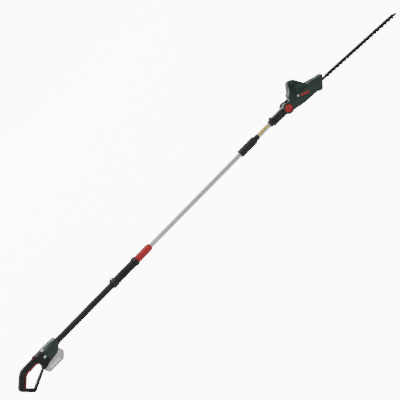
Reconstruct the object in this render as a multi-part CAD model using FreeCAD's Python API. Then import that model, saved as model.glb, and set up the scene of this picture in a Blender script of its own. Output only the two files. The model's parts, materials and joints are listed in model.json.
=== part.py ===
"""Cordless pole hedge trimmer with a telescoping pole and a tilting cutter head.

Working frame: x = 0 at the rear of the D-handle, +X along the pole to the blades, +Z up, y = 0 on the
plane where the housing halves meet, z = 0 on the pole axis. The head has its own frame: origin on the
tilt axis, +X along the blades; put_on_pole() places it. At the end everything is moved so that the origin
is at the bottom centre of the whole tool. Millimetres.
"""
import FreeCAD, Part
import math
import os

V = FreeCAD.Vector
AXIS_X, AXIS_Y, AXIS_Z = V(1, 0, 0), V(0, 1, 0), V(0, 0, 1)

# ---- pole, from the handle forwards ----
handle_len = 163.0          # rear end to the front of the hand opening
body_len = 137.0            # battery housing
outer_bare_len = 376.0      # black outer tube between the housing and the strap collar
strap_collar_len = 31.0
front_grip_len = 119.0
clamp_flange_len = 20.0
clamp_sleeve_len = 96.0
inner_bare_len = 624.0      # aluminium tube showing when fully extended
nut_len = 105.0
tube_collar_len = 22.0
head_tube_bare_len = 78.0
neck_len = 119.0            # rear of the neck to the tilt axis
telescope_travel = 500.0

outer_tube_r = 16.3
outer_tube_wall = 1.5
inner_tube_r = 12.4
inner_tube_wall = 1.4
head_tube_r = 12.4
head_tube_wall = 1.4
slide_gap = 0.15            # running gap round the sliding and turning tubes
joint_gap = 0.3             # free gap between moving housings

# ---- rear housing and D-handle ----
body_half_w = 32.0
grip_half_w = 15.0
grip_rim = 3.5              # edge rounding of the handle loop
shell_wall = 2.6
grip_skin = 2.2             # soft overmould thickness
grip_top = 26.4
overmould_front = 206.0     # where the soft skin of the handle meets the bare housing
inlay_depth = 9.0
plate_t = 1.2               # inlaid plates
shoulder_tilt = 62.0        # degrees: the oval plate faces up and out from the near side
trigger_half_w = 6.5
screw_head_r = 2.6
screw_head_h = 2.0
screw_shank_r = 1.3
screw_reach = 10.0          # how far the screws bite past the parting plane

# ---- battery pack ----
battery_half_w = 37.0
battery_bottom = -76.4
battery_wall = 2.4
rail_half_w = 20.0          # flange that runs in the housing's T-slot
rail_neck_half_w = 16.0
rail_top = -27.0
rail_flange_t = 3.0
rail_gap = 0.4
cell_r = 9.1
cell_len = 65.0
cell_count = 5

# ---- front hand grip and strap collar ----
front_grip_r = 20.6
flange_r = 24.2
strap_collar_r = 23.5
eyelet_r = 4.5
eyelet_rim = 3.0
eyelet_t = 5.0
clamp_sleeve_r = 19.4
nut_r = 20.2
tube_collar_r = 14.8
tube_insert_len = 58.0      # head tube inside the coupling

# ---- neck and tilt joint ----
neck_collar_r = 25.2
neck_half_w = 18.7
neck_half_h = 20.0
barrel_r = 26.0
ear_r = 29.2
ear_half_w = 30.0           # outside face of the ears from the centre plane
ear_wall = 3.8              # web behind each button
hinge_drop = 3.0            # tilt axis below the pole axis
head_droop = 3.6            # degrees the blades point below the pole
button_r = 19.6
button_proud = 5.0
button_travel = 4.0
pin_r = 4.5
pin_gap = 0.05              # running fit on the pin
hub_r = 10.0
lock_gear_r = 15.2
lock_gear_t = 5.0
lock_teeth = 20
lock_ring_r = 18.4

# ---- head housing, in the head's own frame ----
head_front = 241.0
head_half_w = 35.0
bump_half_w = 28.0
bump_top = 97.0
vent_count = 5
vent_len = 34.0
vent_pitch = 7.2
motor_x = 88.0
motor_r = 18.0
motor_bottom = 17.0
motor_len = 52.0

# ---- gear drive ----
gear_module = 1.0
pinion_teeth = 13
gear_teeth = 48
gear_t = 7.0
gear_bottom = 3.0
backlash = 0.18             # taken off each tooth flank
throw = 5.65                # eccentric offset: half of one blade's stroke
eccentric_r = 11.0

# ---- blades ----
blade_t = 2.4
blade_gap = 0.1
upper_blade_z = -14.2       # underside of the upper blade
bar_half = 11.5             # half width of the blade's bar
tooth_len = 15.0
tooth_pitch = 22.6
tooth_gap = 16.0            # opening at the tips
tooth_root_gap = 11.0
teeth_per_side = 20
first_tooth = 257.0
spine_t = 5.0               # stiffener bar inside the head
bar_t = 8.0                 # and outside it
spine_half = 11.0
nose_len = 31.0
bolt_r = 2.5
bolt_count = 6

# ---- stations along the pole ----
x_body = handle_len
x_body_front = x_body + body_len
x_collar = x_body_front + outer_bare_len
x_grip = x_collar + strap_collar_len
x_flange = x_grip + front_grip_len
x_sleeve = x_flange + clamp_flange_len
x_inner = x_sleeve + clamp_sleeve_len
x_nut = x_inner + inner_bare_len
x_tube_collar = x_nut + nut_len
x_head_tube = x_tube_collar + tube_collar_len
x_neck = x_head_tube + head_tube_bare_len
x_hinge = x_neck + neck_len
tube_socket_len = 40.0      # outer tube inside the rear housing
x_outer_rear = x_body_front - tube_socket_len
x_outer_end = x_sleeve + 50.0
x_inner_rear = x_outer_rear + telescope_travel + 6.0
x_inner_end = x_nut + 40.0
gear_x = motor_x + gear_module * (pinion_teeth + gear_teeth) / 2

parts = {}


# ---------------------------------------------------------------- helpers
def rounded_wire(corners, to_point):
    """Closed wire through (u, v, radius) corners, each corner rounded by a tangent arc."""
    n = len(corners)
    starts, ends, middles = [], [], []
    for i, (u, v, r) in enumerate(corners):
        pu, pv, _ = corners[i - 1]
        nu, nv, _ = corners[(i + 1) % n]
        a = V(pu - u, pv - v, 0).normalize()
        b = V(nu - u, nv - v, 0).normalize()
        here = V(u, v, 0)
        half = a.getAngle(b) / 2
        if r <= 0 or math.pi / 2 - half < 1e-4:
            starts.append(here)
            ends.append(here)
            middles.append(None)
            continue
        run = r / math.tan(half)
        bisector = (a + b).normalize()
        starts.append(here + a * run)
        ends.append(here + b * run)
        middles.append(here + bisector * (r / math.sin(half) - r))
    edges = []
    for i in range(n):
        j = (i + 1) % n
        if middles[i] is not None:
            arc = Part.Arc(to_point(starts[i]), to_point(middles[i]), to_point(ends[i]))
            edges.append(arc.toShape())
        if (ends[i] - starts[j]).Length > 1e-6:
            edges.append(Part.LineSegment(to_point(ends[i]), to_point(starts[j])).toShape())
    return Part.Wire(edges)


def slab(corners, y0, y1):
    """Side outline of (x, z, radius) corners, from y0 to y1."""
    wire = rounded_wire(corners, lambda p: V(p.x, y0, p.y))
    return Part.Face(wire).extrude(V(0, y1 - y0, 0))


def plate(corners, z0, z1):
    """Plan outline of (x, y, radius) corners, from z0 to z1."""
    wire = rounded_wire(corners, lambda p: V(p.x, p.y, z0))
    return Part.Face(wire).extrude(V(0, 0, z1 - z0))


def inset(corners, wall):
    """The same outline moved inwards by wall, with its corner radii adjusted."""
    n = len(corners)
    area = sum(corners[i - 1][0] * corners[i][1] - corners[i][0] * corners[i - 1][1] for i in range(n))
    side = 1 if area > 0 else -1
    result = []
    for i, (u, v, r) in enumerate(corners):
        pu, pv, _ = corners[i - 1]
        nu, nv, _ = corners[(i + 1) % n]
        a = V(u - pu, v - pv, 0).normalize()
        b = V(nu - u, nv - v, 0).normalize()
        na = V(-a.y, a.x, 0) * side
        nb = V(-b.y, b.x, 0) * side
        bisector = (na + nb).normalize()
        move = bisector * (wall / bisector.dot(na))
        turn = (a.x * b.y - a.y * b.x) * side
        radius = r - wall if turn > 0 else r + wall
        result.append((u + move.x, v + move.y, max(radius, 0.0)))
    return result


def mirrored(corners):
    """Full plan outline from its +Y half, listed from rear to front."""
    return corners + [(u, -v, r) for u, v, r in reversed(corners)]


def rod(axis, r, start, end, u=0.0, v=0.0):
    """Cylinder from start to end along axis; u and v are the other two coordinates in X, Y, Z order."""
    base = {"x": V(start, u, v), "y": V(u, start, v), "z": V(u, v, start)}[axis]
    direction = {"x": AXIS_X, "y": AXIS_Y, "z": AXIS_Z}[axis]
    return Part.makeCylinder(r, end - start, base, direction)


def ring(axis, r_out, r_in, start, end, u=0.0, v=0.0):
    return rod(axis, r_out, start, end, u, v).cut(rod(axis, r_in, start - 1, end + 1, u, v))


def box(x0, x1, y0, y1, z0, z1):
    return Part.makeBox(x1 - x0, y1 - y0, z1 - z0, V(x0, y0, z0))


def turned(corners):
    """Solid of revolution about the pole axis from (x, r, corner radius) corners."""
    wire = rounded_wire(corners, lambda p: V(p.x, 0, p.y))
    return Part.Face(wire).revolve(V(0, 0, 0), AXIS_X, 360)


def join(shapes):
    first, rest = shapes[0], list(shapes[1:])
    return first.fuse(rest).removeSplitter() if rest else first


def rims(shape, y_faces):
    """Edges that lie wholly in one of the planes y = value."""
    found = []
    for edge in shape.Edges:
        box_ = edge.BoundBox
        for y in y_faces:
            if abs(box_.YMin - y) < 1e-4 and abs(box_.YMax - y) < 1e-4:
                found.append(edge)
    return found



def halves(shape):
    """Left (y > 0) and right (y < 0) halves."""
    b = shape.BoundBox
    left = box(b.XMin - 1, b.XMax + 1, 0, b.YMax + 1, b.ZMin - 1, b.ZMax + 1)
    right = box(b.XMin - 1, b.XMax + 1, b.YMin - 1, 0, b.ZMin - 1, b.ZMax + 1)
    return shape.common(left), shape.common(right)


def screw(x, y, z, head_r, head_h, shank_r, length, direction):
    """Countersunk-socket screw: its head's top is at (x, y, z), its shank runs along direction."""
    head = Part.makeCylinder(head_r, head_h, V(x, y, z), direction)
    shank = Part.makeCylinder(shank_r, length, V(x, y, z) + direction * head_h, direction)
    socket = Part.makeCylinder(head_r * 0.45, head_h * 0.5, V(x, y, z), direction)
    return head.fuse(shank).cut(socket).removeSplitter()


def screwed(shell, outer, spots):
    """Adds screw posts inside a split shell and cuts the recesses and holes; returns it with its screws.

    Each spot is (x, z, depth of the screw head's top below the outside on the right, half width there).
    """
    screws, cuts = [], []
    for x, z, sunk, half_w in spots:
        top = sunk - half_w
        shell = shell.fuse(rod("y", screw_head_r + 2.0, -120, 120, x, z).common(outer))
        cuts.append(rod("y", screw_head_r + 0.4, -120, top + screw_head_h, x, z))
        cuts.append(rod("y", screw_shank_r, top, screw_reach, x, z))
        screws.append(screw(x, top, z, screw_head_r, screw_head_h, screw_shank_r,
                            screw_reach - top - screw_head_h, AXIS_Y))
    for cut in cuts:
        shell = shell.cut(cut)
    return shell, Part.makeCompound(screws)


def put_on_pole(shape):
    """Moves a shape from the head's frame to the pole's."""
    placed = shape.copy()
    placed.rotate(V(0, 0, 0), AXIS_Y, head_droop)
    placed.translate(V(x_hinge, 0, -hinge_drop))
    return placed


def spur_gear(teeth, module, z0, z1, bore_r):
    """Involute spur gear about Z, a tooth centred on +X, each flank thinned by the backlash."""
    pitch_r = module * teeth / 2
    base_r = pitch_r * math.cos(math.radians(20))
    tip_r = pitch_r + module * 0.9
    root_r = pitch_r - module * 1.25
    inv = math.tan(math.radians(20)) - math.radians(20)
    half_angle = math.pi / (2 * teeth) + inv - backlash / pitch_r
    low = max(base_r, root_r)
    steps = 4
    flank = []
    for i in range(steps + 1):
        r = low + (tip_r - low) * i / steps
        pressure = math.acos(min(1.0, base_r / r))
        flank.append((r, half_angle - (math.tan(pressure) - pressure)))
    points = []
    for tooth in range(teeth):
        centre = 2 * math.pi * tooth / teeth
        profile = [(root_r, -flank[0][1])] + [(r, -a) for r, a in flank]
        profile += [(r, a) for r, a in reversed(flank)] + [(root_r, flank[0][1])]
        for r, a in profile:
            points.append(V(r * math.cos(centre + a), r * math.sin(centre + a), z0))
    kept = [points[0]]
    for p in points[1:]:
        if (p - kept[-1]).Length > 1e-3:
            kept.append(p)
    wire = Part.makePolygon(kept + [kept[0]])
    gear = Part.Face(wire).extrude(V(0, 0, z1 - z0))
    return gear.cut(rod("z", bore_r, z0 - 1, z1 + 1))


def bar_x(corners, x0, x1):
    """Cross-section of (y, z, radius) corners, from x0 to x1."""
    wire = rounded_wire(corners, lambda p: V(x0, p.x, p.y))
    return Part.Face(wire).extrude(V(x1 - x0, 0, 0))


def moulding(side, plan, section, wall=0.0):
    """Moulded form: what the side, plan and cross-section outlines have in common, inset by wall."""
    side, plan, section = (inset(o, wall) if wall else o for o in (side, plan, section))
    xs = [c[0] for c in side]
    zs = [c[1] for c in side]
    body = slab(side, -120, 120).common(plate(plan, min(zs) - 1, max(zs) + 1))
    return body.common(bar_x(section, min(xs) - 1, max(xs) + 1))


def coil_spring(coil_r, wire_r, length, turns):
    """Coil spring along +Z from z = 0, in half turns that are each a tilted half ring."""
    rise = (length - 2 * wire_r) / (2 * turns)
    coil = []
    for i in range(2 * turns):
        side = 1 if i % 2 == 0 else -1
        start = V(side * coil_r, 0, wire_r + rise * i)
        end = V(-side * coil_r, 0, wire_r + rise * (i + 1))
        section = Part.Face(Part.Wire(Part.makeCircle(wire_r, start, AXIS_Y)))
        axis = (end - start).cross(AXIS_Y) * side
        coil.append(section.revolve((start + end) / 2, axis, 180))
    return join(coil)


def laid(shape, start, direction):
    """Moves a shape built along +Z so that it starts at a point and runs along direction."""
    placed = shape.copy()
    turn = FreeCAD.Rotation(AXIS_Z, direction)
    placed.Placement = FreeCAD.Placement(start, turn).multiply(placed.Placement)
    return placed


# ---------------------------------------------------------------- rear unit
loop_outline = [(172, grip_top, 0), (64.4, grip_top, 70), (-6.6, -40.4, 17), (53.5, -101.5, 16),
                (158, -50.5, 6), (176, -42, 0)]
hand_gap = [(79.7, -8.5, 30), (161.5, -8.5, 18), (161.5, -39, 9), (63.5, -83, 6), (33, -53.5, 6)]
body_side = [(156, -49, 4), (191, -39.5, 30), (254, -31.7, 12), (x_body_front - 19, -15.5, 8),
             (x_body_front + 2, 17.3, 3), (x_body_front - 7, 23.8, 6), (262, 27, 30), (195, 28.2, 30),
             (156, 24, 8)]
body_plan = mirrored([(148, grip_half_w - 1, 6), (178, body_half_w - 1, 26), (230, body_half_w, 60),
                      (x_body_front - 18, body_half_w - 1, 16), (x_body_front + 3, 22, 6)])
body_section = [(-body_half_w, -50, 12), (body_half_w, -50, 12), (body_half_w, 28.4, 18),
                (-body_half_w, 28.4, 18)]
trigger_x0, trigger_x1 = 93.0, 151.0
trigger_pivot = (trigger_x1 - 3.0, 1.0)
lock_off_x = 160.0
rail_x0 = 203.0
rear_screw_spots = [(48, 2, 2, grip_half_w), (14, -44, 2, grip_half_w), (54, -90, 2, grip_half_w),
                    (172, 12, 3, 30), (182, -33, 3, 30), (272, 20.5, 3, 29)]


def rear_unit():
    loop = slab(loop_outline, -grip_half_w, grip_half_w).cut(slab(hand_gap, -20, 20))
    loop = loop.makeFillet(grip_rim, [e for e in rims(loop, (-grip_half_w,
                                                             grip_half_w)) if e.BoundBox.XMin < 170])
    body = moulding(body_side, body_plan, body_section)
    outer = loop.fuse(body).cut(slab(hand_gap, -60, 60))
    core = slab(inset(loop_outline, grip_skin), grip_skin - grip_half_w, grip_half_w - grip_skin)
    core = core.fuse(moulding(body_side, body_plan, body_section, grip_skin))
    core = core.cut(slab(inset(hand_gap, -grip_skin), -60, 60))
    grip_zone = slab([(-20, -120, 0), (120, -120, 0), (overmould_front + 7, -60, 0),
                      (overmould_front - 7, 60, 0),
                      (-20, 60, 0)], -60, 60)
    inlay_zone = slab([(22, -44, 0), (36, -58, 0), (74, -22, 0), (157, -22, 0), (157, 10, 0), (66, 10, 0)],
                      -60, 60)
    inlay = outer.common(inlay_zone).common(slab(inset(hand_gap, -inlay_depth), -60, 60))
    overmould = outer.common(grip_zone).cut(core).cut(inlay)
    plates = badges(body, moulding(body_side, body_plan, body_section, plate_t))
    overmould = overmould.cut(plates)
    cavity = moulding(body_side, body_plan, body_section, shell_wall).cut(grip_zone)
    deep = moulding(body_side, body_plan, body_section, shell_wall + grip_skin)
    cavity = cavity.fuse(deep.common(grip_zone))
    rail_block = box(150, 320, -60, 60, -60, rail_top + shell_wall)
    grip_cavity = box(84, 172, -10.5, 10.5, -3.5, grip_top - grip_skin - shell_wall)
    tube_boss = rod("x", outer_tube_r + 3.2, x_outer_rear + 2, x_body_front - 4)
    shell = outer.cut(overmould).cut(inlay).cut(plates)
    shell = shell.cut(cavity.cut(rail_block)).cut(grip_cavity).fuse(tube_boss)
    slot = box(rail_x0, 320, -rail_half_w - rail_gap, rail_half_w + rail_gap,
               rail_top - rail_flange_t - rail_gap, rail_top + rail_gap)
    slot_neck = box(rail_x0, 320, -rail_neck_half_w - rail_gap, rail_neck_half_w + rail_gap, -60, rail_top)
    trigger_slot = box(trigger_x0 - 0.6, trigger_x1 + 0.6, -trigger_half_w - joint_gap,
                       trigger_half_w + joint_gap,
                       -14, 2)
    lock_slot = box(lock_off_x - 8.4, lock_off_x + 8.4, -5.4, 5.4, 10, 40)
    release_slot = box(262, 284, -8.4, 8.4, -60, -24)
    for cut in (slot, slot_neck, trigger_slot, lock_slot, release_slot):
        shell = shell.cut(cut)
    inlay = inlay.cut(trigger_slot).cut(grip_cavity)
    overmould = overmould.cut(trigger_slot).cut(lock_slot).cut(slot).cut(slot_neck)
    shell, screws = screwed(shell, core.fuse(outer.cut(grip_zone)), rear_screw_spots)
    for x, z, sunk, half_w in rear_screw_spots:
        overmould = overmould.cut(rod("y", screw_head_r + 0.4, -60, 0, x, z))
    shell = shell.cut(rod("x", outer_tube_r, x_outer_rear - 1, x_body_front + 10))
    parts["side_badges"] = plates
    parts["rear_shell_left"], parts["rear_shell_right"] = halves(shell)
    parts["soft_grip"] = overmould
    parts["grip_inlay"] = inlay
    parts["housing_screws"] = screws


def controls():
    px, pz = trigger_pivot
    paddle = [(trigger_x0, 1.0, 1), (trigger_x0, -8.5, 3), (108, -12.2, 14), (134, -10.4, 14),
              (trigger_x1, -10.5, 2),
              (trigger_x1, 4.0, 2), (px - 6, 4.0, 2), (px - 8, 1.5, 1)]
    trigger = slab(paddle, -trigger_half_w, trigger_half_w)
    trigger = trigger.makeFillet(1.6, rims(trigger, (-trigger_half_w, trigger_half_w)))
    trigger = trigger.fuse(rod("y", 2.4, -9.0, 9.0, px, pz)).removeSplitter()
    parts["trigger"] = trigger
    parts["trigger_spring"] = laid(coil_spring(3.0, 0.45, 7.0, 4), V(100, 0, 1.4), AXIS_Z)
    switch = box(112, 136, -7, 7, 9.0, 18.0).fuse(box(121, 125, -2, 2, 7.4, 9.5))
    parts["trigger_switch"] = switch.removeSplitter()
    cap = slab([(lock_off_x - 8, 23.0, 0), (lock_off_x + 8, 23.0, 0), (lock_off_x + 8, 29.0, 2),
                (lock_off_x + 1.5, 36.0, 3), (lock_off_x - 1.5, 36.0, 3), (lock_off_x - 8, 29.0, 2)], -5, 5)
    cap = cap.makeFillet(1.5, [e for e in rims(cap, (-5, 5)) if e.BoundBox.ZMax > 24])
    stem = box(lock_off_x - 3, lock_off_x + 3, -3, 3, 14.0, 23.5)
    parts["lock_off_button"] = cap.fuse(stem).removeSplitter()
    parts["lock_off_spring"] = laid(coil_spring(2.2, 0.4, 6.0, 4), V(lock_off_x, 0, 7.6), AXIS_Z)
    parts["controller_board"] = box(179, 240, -22, 22, 12.0, 13.6).fuse(box(184, 200, -9, 9, 13.6,
                                                                            20.5)).fuse(
        box(210, 226, -12, 2, 13.6, 19.0)).removeSplitter()


def badges(body, under):
    """Two plain plates let into the near side: an oval on the upper shoulder and a small tag."""
    oval = slab([(-7, -3.9, 3.8), (7, -3.9, 3.8), (7, 3.9, 3.8), (-7, 3.9, 3.8)], -4, 4)
    oval.rotate(V(0, 0, 0), AXIS_X, shoulder_tilt)
    oval.translate(V(209, -22.5, 26.3))
    tag = slab([(191, -8, 2), (204, -8, 2), (204, 2, 2), (191, 2, 2)], -body_half_w - 2, -20)
    return oval.fuse(tag).common(body).cut(under)


# ---------------------------------------------------------------- battery pack
battery_side = [(163.5, -51.5, 2), (191, -40.1, 30), (254, -32.3, 12), (274, -20.5, 3), (285, -34, 6),
                (287, -50, 10),
                (256, battery_bottom, 12), (163.5, battery_bottom, 9)]
battery_plan = mirrored([(163.5, battery_half_w - 1, 8), (272, battery_half_w - 1, 14), (288, 26, 8)])
battery_section = [(-battery_half_w, battery_bottom, 8), (battery_half_w, battery_bottom, 8),
                   (battery_half_w, -34, 6), (24, -18, 10), (-24, -18, 10), (-battery_half_w, -34, 6)]


def battery():
    case = moulding(battery_side, battery_plan, battery_section)
    case = case.cut(slab([(150, -51.2, 0), (191, -39.9, 30), (254, -32.1, 12), (285, -12, 0), (285, 0, 0),
                          (150, 0, 0)],
                         -60, 60))
    inside = moulding(battery_side, battery_plan, battery_section, battery_wall)
    inside = inside.cut(box(150, 300, -60, 60, -44.5, 0))
    rail = box(rail_x0 + 1, 254, -rail_half_w, rail_half_w, rail_top - rail_flange_t, rail_top)
    neck = box(rail_x0 + 1, 254, -rail_neck_half_w, rail_neck_half_w, -42, rail_top - 1)
    case = case.fuse(rail).fuse(neck).cut(inside)
    for side in (-1, 1):
        recess = box(176, 246, -8, 8, -67, -50)
        recess.translate(V(0, side * (battery_half_w + 7), 0))
        case = case.cut(recess.makeFillet(1.0, recess.Edges))
    case = case.cut(box(263.5, 282.5, -7.0, 7.0, -37.5, -10))
    parts["battery_case"] = case.removeSplitter()
    cells = [rod("y", cell_r, -cell_len / 2, cell_len / 2, 177 + (2 * cell_r + 0.6) * i, -58.5)
             for i in range(cell_count)]
    parts["battery_cells"] = Part.makeCompound(cells)
    button = slab([(265, -33.5, 0), (281, -33.5, 2), (281, -27.8, 3), (274.5, -20.5, 2), (265, -26, 1)],
                  -6.6, 6.6)
    parts["battery_release"] = button
    blades = [box(rail_x0 - 12, rail_x0 + 13, y - 0.5, y + 0.5, -24.0, -22.6) for y in (-12, -4, 4, 12)]
    block = box(rail_x0 - 14, rail_x0 - 4, -17, 17, -24.2, -17)
    parts["battery_terminals"] = block.fuse(Part.makeCompound(blades)).removeSplitter()


# ---------------------------------------------------------------- pole
def pole():
    parts["outer_tube"] = ring("x", outer_tube_r, outer_tube_r - outer_tube_wall, x_outer_rear, x_outer_end)
    collar = turned([(x_collar, outer_tube_r, 0), (x_collar, strap_collar_r, 3),
                     (x_grip - 0.5, strap_collar_r, 3),
                     (x_grip - 0.5, outer_tube_r, 0)])
    eye_x = x_collar + strap_collar_len / 2
    eye_z = strap_collar_r + eyelet_r + 0.5
    eye_out = eyelet_r + eyelet_rim
    eyelet = rod("y", eye_out, -eyelet_t / 2, eyelet_t / 2, eye_x, eye_z)
    foot = slab([(eye_x - eye_out - 3, outer_tube_r + 2, 0), (eye_x + eye_out + 3, outer_tube_r + 2, 0),
                 (eye_x + eye_out, eye_z, 0), (eye_x - eye_out, eye_z, 0)], -eyelet_t / 2, eyelet_t / 2)
    collar = collar.fuse(eyelet.fuse(foot)).cut(rod("y", eyelet_r, -20, 20, eye_x, eye_z))
    pinch = box(eye_x - 40, eye_x + 40, -1.0, 1.0, -40, -outer_tube_r + 1)
    parts["strap_collar"] = collar.cut(pinch).removeSplitter()
    grip = turned([(x_grip, outer_tube_r, 0), (x_grip, front_grip_r - 0.6, 3),
                   (x_grip + 40, front_grip_r + 0.4, 60),
                   (x_flange - 0.4, front_grip_r - 0.6, 2), (x_flange - 0.4, outer_tube_r, 0)])
    grooves = [turned([(x, front_grip_r - 1.1, 0), (x, front_grip_r + 3, 0), (x + 2.4, front_grip_r + 3, 0),
                       (x + 2.4, front_grip_r - 1.1, 0)])
               for x in (x_grip + 14 + 6.2 * i for i in range(15))]
    parts["front_grip"] = grip.cut(Part.makeCompound(grooves))
    nose_r = outer_tube_r + 1.1
    nose_end = x_outer_end + 4
    clamp = turned([(x_flange, outer_tube_r, 0), (x_flange, flange_r - 1, 3), (x_sleeve - 0.4, flange_r, 3),
                    (x_sleeve - 0.4, nose_r, 0), (nose_end, nose_r, 0), (nose_end, outer_tube_r, 0)])
    notches = []
    for i in range(8):
        notch = rod("x", 2.2, x_flange + 4, x_sleeve + 1, flange_r + 1.1, 0)
        notch.rotate(V(0, 0, 0), AXIS_X, 45.0 * i)
        notches.append(notch)
    parts["clamp_body"] = clamp.cut(Part.makeCompound(notches))
    collet_end = x_inner - 6
    collet = turned([(x_outer_end + 4.3, inner_tube_r + slide_gap, 0),
                     (x_outer_end + 4.3, outer_tube_r + 0.2, 0),
                     (x_outer_end + 14, outer_tube_r + 0.2, 0), (collet_end, outer_tube_r - 1.6, 0),
                     (collet_end, inner_tube_r + slide_gap, 0)])
    slits = []
    for i in range(4):
        slit = box(x_outer_end + 12, collet_end + 1, -0.8, 0.8, 0, 30)
        slit.rotate(V(0, 0, 0), AXIS_X, 45 + 90.0 * i)
        slits.append(slit)
    parts["clamp_collet"] = collet.cut(Part.makeCompound(slits))
    sleeve = turned([(x_sleeve, nose_r + joint_gap, 0), (x_sleeve, clamp_sleeve_r, 1.5),
                     (x_inner - 9, clamp_sleeve_r, 6), (x_inner, clamp_sleeve_r - 4.2, 3),
                     (x_inner, inner_tube_r + joint_gap, 0), (collet_end + 0.5, inner_tube_r + joint_gap, 0),
                     (collet_end + 0.5, outer_tube_r - 1.3, 0), (x_outer_end + 14, outer_tube_r + 0.5, 0),
                     (x_outer_end + 6, nose_r + joint_gap, 0)])
    parts["clamp_sleeve"] = sleeve.cut(flutes(x_sleeve + 8, x_inner - 14, clamp_sleeve_r + 2.3, 3.0, 16))
    parts["inner_tube"] = ring("x", inner_tube_r, inner_tube_r - inner_tube_wall, x_inner_rear, x_inner_end)
    parts["glide_bush"] = ring("x", outer_tube_r - outer_tube_wall - slide_gap, inner_tube_r,
                               x_inner_rear + 2,
                               x_inner_rear + 32)


def flutes(x0, x1, centre_r, flute_r, count):
    """Lengthwise grooves with round ends, spaced evenly round the pole axis."""
    groove = rod("x", flute_r, x0, x1, centre_r, 0)
    groove = groove.fuse(Part.makeSphere(flute_r, V(x0, centre_r, 0))).fuse(
        Part.makeSphere(flute_r, V(x1, centre_r, 0))).removeSplitter()
    cuts = []
    for i in range(count):
        one = groove.copy()
        one.rotate(V(0, 0, 0), AXIS_X, 360.0 / count * i)
        cuts.append(one)
    return Part.makeCompound(cuts)


def coupling():
    rear = x_tube_collar - tube_insert_len
    socket_r = nut_r - 2.9
    parts["coupling_socket"] = turned([
        (x_nut + 10, inner_tube_r, 0), (x_nut + 10, socket_r, 2), (x_tube_collar - 8, socket_r, 2),
        (x_tube_collar - 8, head_tube_r + slide_gap, 0), (x_inner_end + 1, head_tube_r + slide_gap, 0),
        (x_inner_end + 1, inner_tube_r, 0)])
    nut = turned([(x_nut, inner_tube_r + joint_gap, 0), (x_nut, nut_r - 2, 2), (x_nut + 5, nut_r, 3),
                  (x_tube_collar - 5, nut_r, 3), (x_tube_collar - 0.4, nut_r - 2, 2),
                  (x_tube_collar - 0.4, head_tube_r + joint_gap, 0),
                  (x_tube_collar - 4, head_tube_r + joint_gap, 0),
                  (x_tube_collar - 4, socket_r + joint_gap, 0), (x_nut + 6, socket_r + joint_gap, 0),
                  (x_nut + 6, inner_tube_r + joint_gap, 0)])
    parts["coupling_nut"] = nut.cut(flutes(x_nut + 8, x_tube_collar - 10, nut_r + 1.7, 2.4, 20))
    pins = [(3.6 * math.cos(a), 3.6 * math.sin(a)) for a in (0.5, 2.6, 4.7)]
    female = rod("x", inner_tube_r - inner_tube_wall, x_inner_end - 16, x_inner_end)
    male = rod("x", head_tube_r - head_tube_wall, rear + 2, rear + 18)
    for y, z in pins:
        female = female.cut(rod("x", 1.3, x_inner_end - 12, x_inner_end + 1, y, z))
        male = male.fuse(rod("x", 1.0, x_inner_end - 8, rear + 4, y, z))
    parts["connector_socket"] = female
    parts["connector_plug"] = male.removeSplitter()
    parts["head_tube"] = ring("x", head_tube_r, head_tube_r - head_tube_wall, rear, x_neck + 34)
    parts["tube_collar"] = turned([(x_tube_collar, head_tube_r, 0), (x_tube_collar, tube_collar_r, 1.5),
                                   (x_head_tube, tube_collar_r, 1.5), (x_head_tube, head_tube_r, 0)])
    parts["tube_band"] = ring("x", head_tube_r + 0.3, head_tube_r, x_head_tube + 4, x_neck - 6)


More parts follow.
